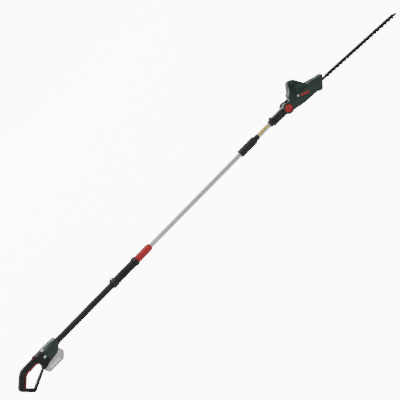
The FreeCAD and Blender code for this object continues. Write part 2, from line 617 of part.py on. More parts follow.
# ---------------------------------------------------------------- neck
def neck():
    collar = turned([(x_neck, 0, 0), (x_neck, 17, 2), (x_neck + 12, 18.2, 8),
                     (x_neck + 18, neck_collar_r, 4), (x_neck + 28, neck_collar_r, 4),
                     (x_neck + 38, neck_half_w - 2, 6), (x_neck + 38, 0, 0)])
    low, high = -hinge_drop - neck_half_h, -hinge_drop + neck_half_h
    beam_side = [(x_neck + 20, high, 4), (x_hinge, high, 0), (x_hinge, low, 0), (x_neck + 20, low + 3.5, 4)]
    beam_section = [(-neck_half_w, low, 7), (neck_half_w, low, 7), (neck_half_w, high, 7),
                    (-neck_half_w, high, 7)]
    beam = slab(beam_side, -neck_half_w, neck_half_w).common(bar_x(beam_section, x_neck, x_hinge + 5))
    barrel = rod("y", barrel_r, -neck_half_w, neck_half_w, x_hinge, -hinge_drop)
    barrel = barrel.makeFillet(1.5, rims(barrel, (-neck_half_w, neck_half_w)))
    body = collar.fuse(beam).fuse(barrel)
    rib = slab(inset(beam_side, 5.5), -30, 30).common(box(x_neck + 40, x_hinge - barrel_r - 6, -30, 30, -40,
                                                          8))
    inner = box(x_neck + 20, x_hinge - barrel_r - 6, 2.0 - neck_half_w, neck_half_w - 2.0, -40, 40)
    body = body.cut(rib.cut(inner))
    hollow = slab(inset(beam_side, 3.2), -neck_half_w + 4.2, neck_half_w - 4.2)
    hollow = hollow.common(box(x_neck + 42, x_hinge - barrel_r + 4, -30, 30, -40, 40))
    pocket_floor = neck_half_w - lock_depth()
    body = body.cut(hollow).cut(rod("x", head_tube_r, x_neck - 1, x_neck + 34))
    body = body.cut(rod("x", 8, x_neck + 30, x_neck + 44))
    for side in (-1, 1):
        start, end = sorted((side * pocket_floor, side * (neck_half_w + 1)))
        body = body.cut(rod("y", lock_ring_r, start, end, x_hinge, -hinge_drop))
    body = body.cut(rod("y", pin_r + pin_gap, -40, 40, x_hinge, -hinge_drop))
    rings = []
    for side in (-1, 1):
        start, end = sorted((side * (pocket_floor + 0.5), side * (neck_half_w - 0.5)))
        spline = rod("y", lock_ring_r, start, end, x_hinge, -hinge_drop)
        spline = spline.cut(rod("y", lock_gear_r + 0.3, start - 1, end + 1, x_hinge, -hinge_drop))
        rings.append(spline.cut(tooth_slots(lock_gear_r + 0.3, 1.4, start - 1, end + 1)))
    solid_body = collar.fuse(beam).fuse(barrel)
    spots = [(x_neck + 30, -17.4, 2, neck_half_w), (x_neck + 62, 12, 3, neck_half_w),
             (x_neck + 80, -18, 2, neck_half_w)]
    body, parts["neck_screws"] = screwed(body, solid_body, spots)
    parts["neck_shell_left"], parts["neck_shell_right"] = halves(body)
    parts["lock_rings"] = Part.makeCompound(rings)


def lock_depth():
    """Depth of the barrel's end pockets: room for the lock gear and its travel."""
    return lock_gear_t + button_travel + 0.8


def tooth_slots(r, half_w, y0, y1):
    """Grooves parallel to the tilt axis for the lock teeth, each reaching 1.4 mm beyond r."""
    grooves = []
    for i in range(lock_teeth):
        groove = box(-half_w, half_w, y0, y1, r - 1.0, r + 1.4)
        groove.rotate(V(0, 0, 0), AXIS_Y, 360.0 / lock_teeth * i)
        groove.translate(V(x_hinge, 0, -hinge_drop))
        grooves.append(groove)
    return Part.makeCompound(grooves)


# ---------------------------------------------------------------- head housing
front_gap_x = barrel_r + 1.2    # where the head closes behind the neck's barrel
low_side = [(front_gap_x, 27, 3), (62, 33, 30), (150, 30.5, 20), (209, 17.5, 30), (head_front, 15.5, 3),
            (head_front - 11, 4, 3), (192, -42, 8), (177, -42.5, 6), (164, -32, 5), (79, -31.5, 20),
            (front_gap_x, -25.5, 6)]
low_plan = mirrored([(front_gap_x, ear_half_w - 1, 4), (62, head_half_w, 30), (192, head_half_w, 40),
                     (head_front, 21, 8)])
low_section = [(-head_half_w, -43, 12), (head_half_w, -43, 12), (head_half_w, 33, 15), (-head_half_w, 33, 15)]
bump_side = [(front_gap_x + 4, 20, 2), (36, 42, 8), (54, 58, 20), (66.5, 84, 20), (74, bump_top, 7),
             (90, bump_top - 2, 10), (113, 83.5, 12), (125, 64, 30), (146, 33, 25), (158, 20, 3)]
bump_plan = mirrored([(front_gap_x + 2, 24, 12), (60, bump_half_w, 30), (128, bump_half_w, 26), (158, 18, 8)])
bump_section = [(-bump_half_w, 10, 0), (bump_half_w, 10, 0), (bump_half_w - 1, 62, 30),
                (13, bump_top + 1, 10),
                (-13, bump_top + 1, 10), (1 - bump_half_w, 62, 30)]
head_screw_spots = [(79, 84, 3, 18), (142, 24, 3, 33), (37, 22, 3, 29), (38, -19, 3, 30), (180, -35, 3, 33),
                    (216, 2, 3, 30)]


def head_housing():
    lower = moulding(low_side, low_plan, low_section)
    bump = moulding(bump_side, bump_plan, bump_section)
    cavity = moulding(low_side, low_plan, low_section, shell_wall)
    cavity = cavity.fuse(moulding(bump_side, bump_plan, bump_section, shell_wall))
    web = ear_half_w - neck_half_w - joint_gap
    body = lower.fuse(bump)
    outer = body
    for side in (-1, 1):
        start, end = sorted((side * (neck_half_w + joint_gap), side * ear_half_w))
        disc = rod("y", ear_r, start, end)
        arm = slab([(0, -25, 0), (50, -25, 0), (50, 25, 0), (0, 25, 0)], start, end)
        rim = rims(disc, (side * ear_half_w,))
        body = body.fuse(disc.makeFillet(2.0, rim)).fuse(arm)
    body = body.cut(rod("y", front_gap_x, -neck_half_w - joint_gap, neck_half_w + joint_gap))
    blade_exit = box(180, 300, -bar_half - 3, bar_half + 3, lower_blade_z - 4.8, spine_top + 1.8)
    body = body.cut(cavity.cut(rod("y", front_gap_x + shell_wall, -60, 60))).cut(blade_exit)
    for side in (-1, 1):
        inner = side * (neck_half_w + joint_gap + ear_wall)
        start, end = sorted((inner, side * (ear_half_w + 1)))
        body = body.cut(rod("y", button_r + joint_gap, start, end))
    body = body.cut(rod("y", hub_r + pin_gap, -60, 60))
    grooves = [box(34, 172, side * head_half_w - 0.9, side * head_half_w + 0.9, -22.8,
                   -21.6) for side in (-1, 1)]
    body = body.cut(Part.makeCompound(grooves))
    vents = []
    for i in range(vent_count):
        vent = slab([(-vent_len / 2, -1.2, 1), (vent_len / 2, -1.2, 1), (vent_len / 2, 1.2, 1),
                     (-vent_len / 2, 1.2, 1)], -60, 60)
        vent.rotate(V(0, 0, 0), AXIS_Y, 22)
        vent.translate(V(70 + 3.2 * i, 0, 44 + vent_pitch * i))
        vents.append(vent)
    body = body.cut(Part.makeCompound(vents))
    air_guide = slab(inset(bump_side, 1.0), -1.5, 1.5).common(box(44, motor_x - motor_r - 1, -2, 2, 34, 80))
    body = body.fuse(air_guide)
    body, screws = screwed(body, outer, head_screw_spots)
    badge = slab([(85, 16.5, 4), (131, 0.5, 4), (131, -9.5, 4), (85, 6.5, 4)], -head_half_w - 0.4,
                 1.2 - head_half_w)
    dot = rod("y", 5.2, -head_half_w - 0.4, 1.6 - head_half_w, 74, 17)
    body = body.cut(badge).cut(dot).cut(gearbox_space()).removeSplitter()
    left, right = halves(body)
    parts["head_shell_left"], parts["head_shell_right"] = put_on_pole(left), put_on_pole(right)
    parts["head_screws"] = put_on_pole(screws)
    parts["head_badge"] = put_on_pole(badge)
    parts["head_dot"] = put_on_pole(dot)


# ---------------------------------------------------------------- gearbox, motor and blades
lower_blade_z = upper_blade_z - blade_t - blade_gap
spine_bottom = upper_blade_z + blade_t + blade_gap
spine_top = spine_bottom + spine_t
bar_top = spine_bottom + bar_t
shaft_r = 4.0
box_half_w = gear_module * gear_teeth / 2 + 4.6
box_x0, box_x1 = motor_x - 14.0, gear_x + box_half_w
plate_top = lower_blade_z - 1.2
base_t = 3.4
yoke_gap = 1.5              # play in the yoke's slot along the blade
yoke_half_w = 22.0
yoke_half_len = eccentric_r + yoke_gap + 5.5
spine_rear = gear_x + yoke_half_len + throw + 3.0
tongue_end = spine_rear + 40.0


def gearbox_space():
    """Room that the gearbox and the motor need inside the head housing."""
    room = box(box_x0 - 0.3, box_x1 + 0.3, -box_half_w - 0.3, box_half_w + 0.3, plate_top - base_t - 0.3,
               15.8)
    motor = rod("z", motor_r + 0.6, 15, motor_bottom + motor_len + 6.0, motor_x, 0)
    tongue = box(box_x1 - 1, tongue_end + 0.4, -bar_half - 3, bar_half + 3, plate_top - base_t - 0.3,
                 spine_top + 4)
    return room.fuse(motor).fuse(tongue)


def gearbox():
    top, roof = 15.4, 12.0
    gear_room = gear_module * gear_teeth / 2 + 2.0
    tray = box(box_x0, box_x1, -box_half_w, box_half_w, gear_bottom - 1.0, top)
    tray = tray.cut(rod("z", gear_room, gear_bottom - 2, roof, gear_x, 0))
    tray = tray.cut(rod("z", gear_module * pinion_teeth / 2 + 2.0, gear_bottom - 2, roof, motor_x, 0))
    tray = tray.cut(rod("z", 6.2, 0, top + 1, motor_x, 0)).cut(rod("z", 8.0, 0, top + 1, gear_x, 0))
    tongue = box(box_x1 - 6, tongue_end, -bar_half + 2, bar_half - 2, spine_top + 0.2, spine_top + 3.4)
    riser = box(box_x1 - 6, box_x1, -bar_half + 2, bar_half - 2, spine_top + 0.2, gear_bottom)
    tray = tray.fuse(tongue).fuse(riser)
    base = box(box_x0, box_x1, -box_half_w, box_half_w, plate_top - base_t, plate_top)
    base = base.fuse(box(box_x1 - 1, tongue_end, -bar_half, bar_half, plate_top - base_t, plate_top))
    base = base.cut(rod("z", 8.0, plate_top - base_t - 1, plate_top + 1, gear_x, 0))
    screws = []
    for x in (box_x0 + 5, box_x1 - 5):
        for y in (5 - box_half_w, box_half_w - 5):
            base = base.fuse(rod("z", 3.8, plate_top - 1, gear_bottom - 1.05, x, y))
            screws.append(laid(screw(0, 0, 0, 3.2, 2.0, 1.5, 24, AXIS_Z), V(x, y, plate_top - base_t - 2.0),
                               AXIS_Z))
    for x in (spine_rear + 10, spine_rear + 28):
        screws.append(laid(screw(0, 0, 0, 4.0, 2.0, bolt_r, base_t + 15, AXIS_Z),
                           V(x, 0, plate_top - base_t - 2.0),
                           AXIS_Z))
    for one in screws:
        room = one.BoundBox
        r = bolt_r if room.XLength > 7 else 1.5
        x, y = room.Center.x, room.Center.y
        base = base.cut(rod("z", r, room.ZMin, room.ZMax, x, y))
        tray = tray.cut(rod("z", r, room.ZMin, room.ZMax, x, y))
    parts["gearbox_housing"] = put_on_pole(tray.removeSplitter())
    parts["base_plate"] = put_on_pole(base.removeSplitter())
    parts["gearbox_screws"] = put_on_pole(Part.makeCompound(screws))
    bearings = [ring("z", 7.95, shaft_r + pin_gap, top - 3.3, top, gear_x, 0),
                ring("z", 7.95, shaft_r + pin_gap, plate_top - base_t, plate_top - 0.1, gear_x, 0)]
    parts["gear_bearings"] = put_on_pole(Part.makeCompound(bearings))
    gear = spur_gear(gear_teeth, gear_module, gear_bottom, gear_bottom + gear_t, shaft_r - 0.5)
    gear = gear.fuse(rod("z", shaft_r, plate_top - base_t + 0.2, top - 0.2))
    spacing = [(upper_blade_z - 0.02, gear_bottom + 0.5, throw),
               (lower_blade_z + 0.05, upper_blade_z - 0.02, -throw)]
    for z0, z1, offset in spacing:
        gear = gear.fuse(rod("z", eccentric_r, z0, z1, 0, offset))
    gear.translate(V(gear_x, 0, 0))
    parts["drive_gear"] = put_on_pole(gear.removeSplitter())


def motor():
    top = motor_bottom + motor_len
    can = ring("z", motor_r, motor_r - 1.2, motor_bottom, top, motor_x, 0)
    can = can.fuse(rod("z", motor_r, motor_bottom - 1.4, motor_bottom, motor_x, 0))
    can = can.cut(rod("z", 5.0, motor_bottom - 3, motor_bottom + 1, motor_x, 0))
    for i in range(2):
        port = box(motor_x - 4, motor_x + 4, -motor_r - 2, motor_r + 2, motor_bottom + 4, motor_bottom + 9)
        port.rotate(V(motor_x, 0, 0), AXIS_Z, 45 + 90.0 * i)
        can = can.cut(port)
    parts["motor_can"] = put_on_pole(can)
    cap = rod("z", motor_r, top, top + 3, motor_x, 0).fuse(rod("z", 6.5, top + 3, top + 5.5, motor_x, 0))
    cap = cap.cut(rod("z", 2.2, top - 1, top + 4.5, motor_x, 0))
    for y in (-11, 11):
        cap = cap.fuse(box(motor_x - 3, motor_x + 3, y - 0.4, y + 0.4, top + 3, top + 8))
    parts["motor_cap"] = put_on_pole(cap.removeSplitter())
    core = rod("z", motor_r - 3.4, motor_bottom + 12, top - 12, motor_x, 0)
    for i in range(3):
        slot = box(motor_x + 5, motor_x + 30, -1.2, 1.2, motor_bottom + 10, top - 10)
        slot.rotate(V(motor_x, 0, 0), AXIS_Z, 120.0 * i)
        core = core.cut(slot)
    shaft = rod("z", 2.0, 2.2, top + 4.2, motor_x, 0)
    commutator = rod("z", 5.0, top - 9, top - 2, motor_x, 0)
    parts["motor_rotor"] = put_on_pole(core.fuse(shaft).fuse(commutator).removeSplitter())
    hub = ring("z", 4.5, 2.0, motor_bottom + 3, motor_bottom + 9, motor_x, 0)
    for i in range(8):
        vane = box(motor_x + 4, motor_x + motor_r - 3.2, -0.5, 0.5, motor_bottom + 3, motor_bottom + 9)
        vane.rotate(V(motor_x, 0, 0), AXIS_Z, 45.0 * i)
        hub = hub.fuse(vane)
    parts["motor_fan"] = put_on_pole(hub.removeSplitter())
    pinion = spur_gear(pinion_teeth, gear_module, gear_bottom - 0.5, gear_bottom + gear_t + 0.5, 2.0)
    pinion.rotate(V(0, 0, 0), AXIS_Z, 180.0 / pinion_teeth)
    pinion.translate(V(motor_x, 0, 0))
    parts["pinion"] = put_on_pole(pinion)


def blade_wire(z, bevel):
    """Outline of one blade's toothed bar: the near side from rear to front, then back along the far side."""
    side = []
    for i in range(teeth_per_side):
        start = first_tooth + i * tooth_pitch
        root_half = (tooth_pitch - tooth_root_gap) / 2 - bevel
        tip_half = (tooth_pitch - tooth_gap) / 2 - bevel * 0.6
        tip = bar_half + tooth_len - bevel
        for dx, y in ((-root_half, bar_half), (-tip_half, tip), (tip_half, tip), (root_half, bar_half)):
            side.append((start + dx, y))
    last = side[-1][0]
    rear = gear_x + yoke_half_len - 2
    nose = [(last + bevel + 3.0, bar_half - 1.0), (last + nose_len, 2.5)]
    upper_side = [(rear, bar_half)] + side + nose
    points = upper_side + [(x, -y) for x, y in reversed(upper_side)]
    vectors = [V(x, y, z) for x, y in points]
    return Part.makePolygon(vectors + [vectors[0]])


def blades():
    slot_half = bolt_r + throw + 0.6
    bolt_pitch = (teeth_per_side - 2) * tooth_pitch / (bolt_count - 1)
    bolts_x = [first_tooth + 12 + i * bolt_pitch for i in range(bolt_count)]
    tongue_x = [spine_rear + 10, spine_rear + 28]
    for name, z, sharp_low in (("upper_blade", upper_blade_z, True), ("lower_blade", lower_blade_z, False)):
        bevels = (0.0, 1.3) if sharp_low else (1.3, 0.0)
        blade = Part.makeLoft([blade_wire(z, bevels[0]), blade_wire(z + blade_t, bevels[1])], True, True)
        yoke = plate(mirrored([(gear_x - yoke_half_len, yoke_half_w, 8),
                               (gear_x + yoke_half_len, yoke_half_w, 8)]),
                     z, z + blade_t)
        blade = blade.fuse(yoke)
        slot_len = eccentric_r + yoke_gap
        slot = plate(mirrored([(gear_x - slot_len, eccentric_r + throw + 1.0, 6),
                               (gear_x + slot_len, eccentric_r + throw + 1.0, 6)]), z - 1, z + blade_t + 1)
        blade = blade.cut(slot)
        for x in tongue_x + bolts_x:
            half = bolt_r + 0.4
            cut = plate(mirrored([(x - slot_half, half, half - 0.01), (x + slot_half, half, half - 0.01)]),
                        z - 1, z + blade_t + 1)
            blade = blade.cut(cut)
        parts[name] = put_on_pole(blade)
    tip = first_tooth + (teeth_per_side - 1) * tooth_pitch + 6
    spine_plan = mirrored([(spine_rear, spine_half, 2), (tip + nose_len - 22, spine_half, 4),
                           (tip + nose_len, 3, 2)])
    bar_plan = [(max(x, head_front + 8), y, r) for x, y, r in spine_plan]
    spine = plate(spine_plan, spine_bottom, spine_top).fuse(plate(bar_plan, spine_bottom, bar_top))
    ramp = slab([(tip + 4, bar_top + 5, 0), (tip + nose_len + 5, bar_top + 5, 0),
                 (tip + nose_len + 5, spine_bottom + 1.2, 0), (tip + nose_len, spine_bottom + 1.2, 0),
                 (tip + 6, bar_top, 0)], -30, 30)
    spine = spine.removeSplitter().cut(ramp)
    spine_groove = box(head_front + 14, tip - 10, -3.5, 3.5, bar_top - 0.8, bar_top + 1)
    spine = spine.cut(spine_groove)
    bolts = []
    for x in bolts_x:
        bolt = rod("z", 5.0, lower_blade_z - 2.2, lower_blade_z - 0.1, x, 0)
        head_rim = [e for e in bolt.Edges if abs(e.BoundBox.ZMax - lower_blade_z + 2.2) < 0.01]
        bolt = bolt.makeFillet(0.9, head_rim)
        bolt = bolt.fuse(rod("z", bolt_r, lower_blade_z - 0.5, bar_top + 0.4, x, 0))
        bolt = bolt.fuse(rod("z", 3.4, bar_top - 0.8, bar_top + 0.9, x, 0))
        bolts.append(bolt.removeSplitter())
    for x in tongue_x + bolts_x:
        spine = spine.cut(rod("z", bolt_r, spine_bottom - 1, bar_top + 1, x, 0))
    parts["blade_spine"] = put_on_pole(spine)
    parts["blade_bolts"] = put_on_pole(Part.makeCompound(bolts))


def tilt_buttons():
    face = ear_half_w + button_proud
    web_in = neck_half_w + joint_gap
    gear_in = neck_half_w - joint_gap - lock_gear_t
    pivot_y = [("left", 1), ("right", -1)]
    for name, side in pivot_y:
        cap_in = web_in + ear_wall + button_travel + 0.4
        cap = rod("y", button_r, cap_in, face)
        cap = cap.makeFillet(2.2, rims(cap, (face,)))
        dish = Part.makeSphere(90.0, V(0, face + 90.0 - 1.6, 0))
        cap = cap.cut(dish)
        hub = rod("y", hub_r, gear_in, cap_in + 1)
        gear = rod("y", lock_gear_r, gear_in, gear_in + lock_gear_t)
        for i in range(lock_teeth):
            groove = box(-1.0, 1.0, gear_in - 1, gear_in + lock_gear_t + 0.01, lock_gear_r - 1.3,
                         lock_gear_r + 2)
            groove.rotate(V(0, 0, 0), AXIS_Y, 360.0 / lock_teeth * (i + 0.5))
            gear = gear.cut(groove)
        button = cap.fuse(hub).fuse(gear).cut(rod("y", 7.6, gear_in - 1, cap_in - 1.2))
        button = button.cut(rod("y", pin_r + pin_gap, gear_in - 1, cap_in + 4.5))
        spring_start = neck_half_w - lock_depth() + 0.3
        spring = laid(coil_spring(6.2, 0.5, cap_in - 1.6 - spring_start, 4), V(0, spring_start, 0), AXIS_Y)
        if side < 0:
            button = button.mirror(V(0, 0, 0), AXIS_Y)
            spring = spring.mirror(V(0, 0, 0), AXIS_Y)
        parts["tilt_button_" + name] = put_on_pole(button)
        parts["tilt_spring_" + name] = put_on_pole(spring)
    pin_half = web_in + ear_wall + 2.5
    parts["tilt_pin"] = put_on_pole(rod("y", pin_r, -pin_half, pin_half))


# ---------------------------------------------------------------- assembly
for step in (rear_unit, controls, battery, pole, coupling, neck, head_housing, gearbox, motor, blades,
             tilt_buttons):
    step()

boxes = [shape.BoundBox for shape in parts.values()]
low = V(min(b.XMin for b in boxes), min(b.YMin for b in boxes), min(b.ZMin for b in boxes))
high = V(max(b.XMax for b in boxes), max(b.YMax for b in boxes), max(b.ZMax for b in boxes))
shift = V(-(low.x + high.x) / 2, -(low.y + high.y) / 2, -low.z)
os.makedirs("parts", exist_ok=True)
for name, shape in parts.items():
    placed = shape.copy()
    placed.translate(shift)
    placed.exportStep(os.path.join("parts", name + ".step"))
print("size", high - low, "shift", shift, "nodes", len(parts))
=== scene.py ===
import bpy
import bmesh
import json
import math
from mathutils import Matrix, Vector

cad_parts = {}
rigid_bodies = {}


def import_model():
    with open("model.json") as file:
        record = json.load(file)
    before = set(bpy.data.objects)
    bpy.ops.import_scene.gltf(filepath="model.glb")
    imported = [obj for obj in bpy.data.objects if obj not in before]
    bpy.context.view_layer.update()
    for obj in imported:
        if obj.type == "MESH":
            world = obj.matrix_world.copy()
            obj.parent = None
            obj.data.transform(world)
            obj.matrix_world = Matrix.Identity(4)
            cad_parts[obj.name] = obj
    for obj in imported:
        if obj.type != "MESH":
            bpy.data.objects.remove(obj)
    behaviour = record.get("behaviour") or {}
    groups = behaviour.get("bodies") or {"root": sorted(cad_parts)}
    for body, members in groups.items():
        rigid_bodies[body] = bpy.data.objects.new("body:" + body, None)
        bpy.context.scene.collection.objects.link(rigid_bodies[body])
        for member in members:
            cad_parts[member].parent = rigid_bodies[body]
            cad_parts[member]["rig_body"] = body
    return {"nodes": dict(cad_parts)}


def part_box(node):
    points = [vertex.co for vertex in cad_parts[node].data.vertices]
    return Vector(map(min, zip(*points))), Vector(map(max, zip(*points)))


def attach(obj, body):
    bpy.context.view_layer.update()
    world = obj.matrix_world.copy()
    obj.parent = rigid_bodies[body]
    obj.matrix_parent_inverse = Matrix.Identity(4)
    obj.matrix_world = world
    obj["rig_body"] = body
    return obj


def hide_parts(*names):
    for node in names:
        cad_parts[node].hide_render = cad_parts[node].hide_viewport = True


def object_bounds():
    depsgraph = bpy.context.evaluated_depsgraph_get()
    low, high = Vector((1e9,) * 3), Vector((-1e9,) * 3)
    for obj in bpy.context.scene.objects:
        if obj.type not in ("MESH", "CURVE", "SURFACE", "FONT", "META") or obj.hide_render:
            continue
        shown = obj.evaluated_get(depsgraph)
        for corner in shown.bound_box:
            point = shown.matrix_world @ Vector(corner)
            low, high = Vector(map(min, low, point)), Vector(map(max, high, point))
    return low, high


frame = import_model()
cadLow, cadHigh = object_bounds()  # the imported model's own box
nodes = frame["nodes"]
mm = 0.001


def centreOf(node):
    low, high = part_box(node)
    return (low + high) / 2


def finishPiece(name, bm, material, node):
    # the bmesh becomes an object that moves with that CAD node's body and takes the given material
    bmesh.ops.remove_doubles(bm, verts=bm.verts, dist=0.001 * mm)
    bmesh.ops.recalc_face_normals(bm, faces=bm.faces)
    mesh = bpy.data.meshes.new(name)
    bm.to_mesh(mesh)
    bm.free()
    piece = bpy.data.objects.new(name, mesh)
    bpy.context.scene.collection.objects.link(piece)
    mesh.materials.append(material)
    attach(piece, nodes[node]["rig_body"])
    return piece


def linearColour(hexText, alpha=1.0):  # sRGB hex to the linear values that shaders take
    channels = [int(hexText[i:i + 2], 16) / 255 for i in (1, 3, 5)]
    return [c / 12.92 if c < 0.04045 else ((c + 0.055) / 1.055) ** 2.4 for c in channels] + [alpha]


def addNode(tree, kind, settings=None, links=None):
    node = tree.nodes.new(kind)
    for name, value in (settings or {}).items():
        if isinstance(name, str) and hasattr(node, name):
            setattr(node, name, value)
        else:
            node.inputs[name].default_value = value
    for name, socket in (links or {}).items():
        tree.links.new(socket, node.inputs[name])
    return node


def newMaterial(name):
    material = bpy.data.materials.new(name)
    material.use_nodes = True
    tree = material.node_tree
    tree.nodes.clear()
    shader = addNode(tree, "ShaderNodeBsdfPrincipled")
    addNode(tree, "ShaderNodeOutputMaterial", links={"Surface": shader.outputs[0]})
    return material, tree, shader


def paint(nodeNames, material):
    for name in nodeNames:
        mesh = nodes[name].data
        mesh.materials.clear()
        mesh.materials.append(material)


def perMetre(sizeMm):  # noise scale whose features are about this many millimetres across
    return 1000 / sizeMm


def mouldedFinish(name, look):
    # an injection-moulded plastic: spark texture in the bump, a slow drift of tone and of shine
    material, tree, shader = newMaterial(name)
    place = addNode(tree, "ShaderNodeTexCoord").outputs["Object"]
    tone = addNode(tree, "ShaderNodeTexNoise", {"Scale": perMetre(look["toneMm"]), "Detail": 3.0},
                   {"Vector": place})
    mix = addNode(tree, "ShaderNodeMix", {"data_type": "RGBA", 6: linearColour(look["dark"]),
                                          7: linearColour(look["light"])}, {0: tone.outputs["Fac"]})
    tree.links.new(mix.outputs[2], shader.inputs["Base Color"])
    grain = addNode(tree, "ShaderNodeTexNoise", {"Scale": perMetre(look["grainMm"]), "Detail": 4.0,
                                                 "Roughness": 0.6}, {"Vector": place})
    smudge = addNode(tree, "ShaderNodeMapRange", {"From Min": 0.3, "From Max": 0.7, "To Min": look["rough"] - 0.06,
                                                  "To Max": look["rough"] + 0.08}, {"Value": tone.outputs["Fac"]})
    tree.links.new(smudge.outputs[0], shader.inputs["Roughness"])
    bump = addNode(tree, "ShaderNodeBump", {"Strength": look["bump"], "Distance": 0.1 * mm},
                   {"Height": grain.outputs["Fac"]})
    tree.links.new(bump.outputs[0], shader.inputs["Normal"])
    shader.inputs["Coat Weight"].default_value = look.get("coat", 0.0)
    return material


def metalFinish(name, look):
    # a drawn, turned or cast metal: fine lines along one axis, or an even grain where the stretch is 1
    material, tree, shader = newMaterial(name)
    place = addNode(tree, "ShaderNodeTexCoord").outputs["Object"]
    stretch = addNode(tree, "ShaderNodeMapping", {"Scale": look["stretch"]}, {"Vector": place})
    lines = addNode(tree, "ShaderNodeTexNoise", {"Scale": perMetre(look["grainMm"]), "Detail": 5.0,
                                                 "Roughness": 0.65}, {"Vector": stretch.outputs[0]})
    mix = addNode(tree, "ShaderNodeMix", {"data_type": "RGBA", 6: linearColour(look["dark"]),
                                          7: linearColour(look["light"])}, {0: lines.outputs["Fac"]})
    tree.links.new(mix.outputs[2], shader.inputs["Base Color"])
    spread = addNode(tree, "ShaderNodeMapRange", {"To Min": look["rough"] - 0.07, "To Max": look["rough"] + 0.1},
                     {"Value": lines.outputs["Fac"]})
    tree.links.new(spread.outputs[0], shader.inputs["Roughness"])
    bump = addNode(tree, "ShaderNodeBump", {"Strength": look["bump"], "Distance": 0.05 * mm},
                   {"Height": lines.outputs["Fac"]})
    tree.links.new(bump.outputs[0], shader.inputs["Normal"])
    shader.inputs["Metallic"].default_value = look["metal"]
    return material


def bladeFinish():
    # hardened steel with a black oxide skin; the ground bevels of the teeth are bare and bright
    look = {"skinDark": "#2C2D2F", "skinLight": "#404143", "ground": "#7C7E80", "grainMm": 1.2, "rough": 0.42,
            "metal": 0.85, "bump": 0.25, "slopeFrom": 0.6, "slopeTo": 0.97, "bevelAt": 0.75, "bevelSpan": 0.22}
    material, tree, shader = newMaterial("blackOxideBladeSteel")
    place = addNode(tree, "ShaderNodeTexCoord").outputs["Object"]
    stretch = addNode(tree, "ShaderNodeMapping", {"Scale": (0.12, 1.0, 1.0)}, {"Vector": place})
    streak = addNode(tree, "ShaderNodeTexNoise", {"Scale": perMetre(look["grainMm"]), "Detail": 6.0},
                     {"Vector": stretch.outputs[0]})
    skin = addNode(tree, "ShaderNodeMix", {"data_type": "RGBA", 6: linearColour(look["skinDark"]),
                                           7: linearColour(look["skinLight"])}, {0: streak.outputs["Fac"]})
    facing = addNode(tree, "ShaderNodeNewGeometry").outputs["True Normal"]
    parts = addNode(tree, "ShaderNodeSeparateXYZ", links={0: facing})
    upright = addNode(tree, "ShaderNodeMath", {"operation": "ABSOLUTE"}, {0: parts.outputs["Z"]})
    slope = addNode(tree, "ShaderNodeMapRange", {"From Min": look["slopeFrom"], "From Max": look["slopeTo"],
                                                 "To Min": 0.0, "To Max": 1.0}, {"Value": upright.outputs[0]})
    bare = addNode(tree, "ShaderNodeMath", {"operation": "COMPARE", 1: look["bevelAt"], 2: look["bevelSpan"]},
                   {0: slope.outputs[0]})
    colour = addNode(tree, "ShaderNodeMix", {"data_type": "RGBA", 7: linearColour(look["ground"])},
                     {0: bare.outputs[0], 6: skin.outputs[2]})
    tree.links.new(colour.outputs[2], shader.inputs["Base Color"])
    shader.inputs["Metallic"].default_value = look["metal"]
    shader.inputs["Roughness"].default_value = look["rough"]
    bump = addNode(tree, "ShaderNodeBump", {"Strength": look["bump"], "Distance": 0.05 * mm},
                   {"Height": streak.outputs["Fac"]})
    tree.links.new(bump.outputs[0], shader.inputs["Normal"])
    return material


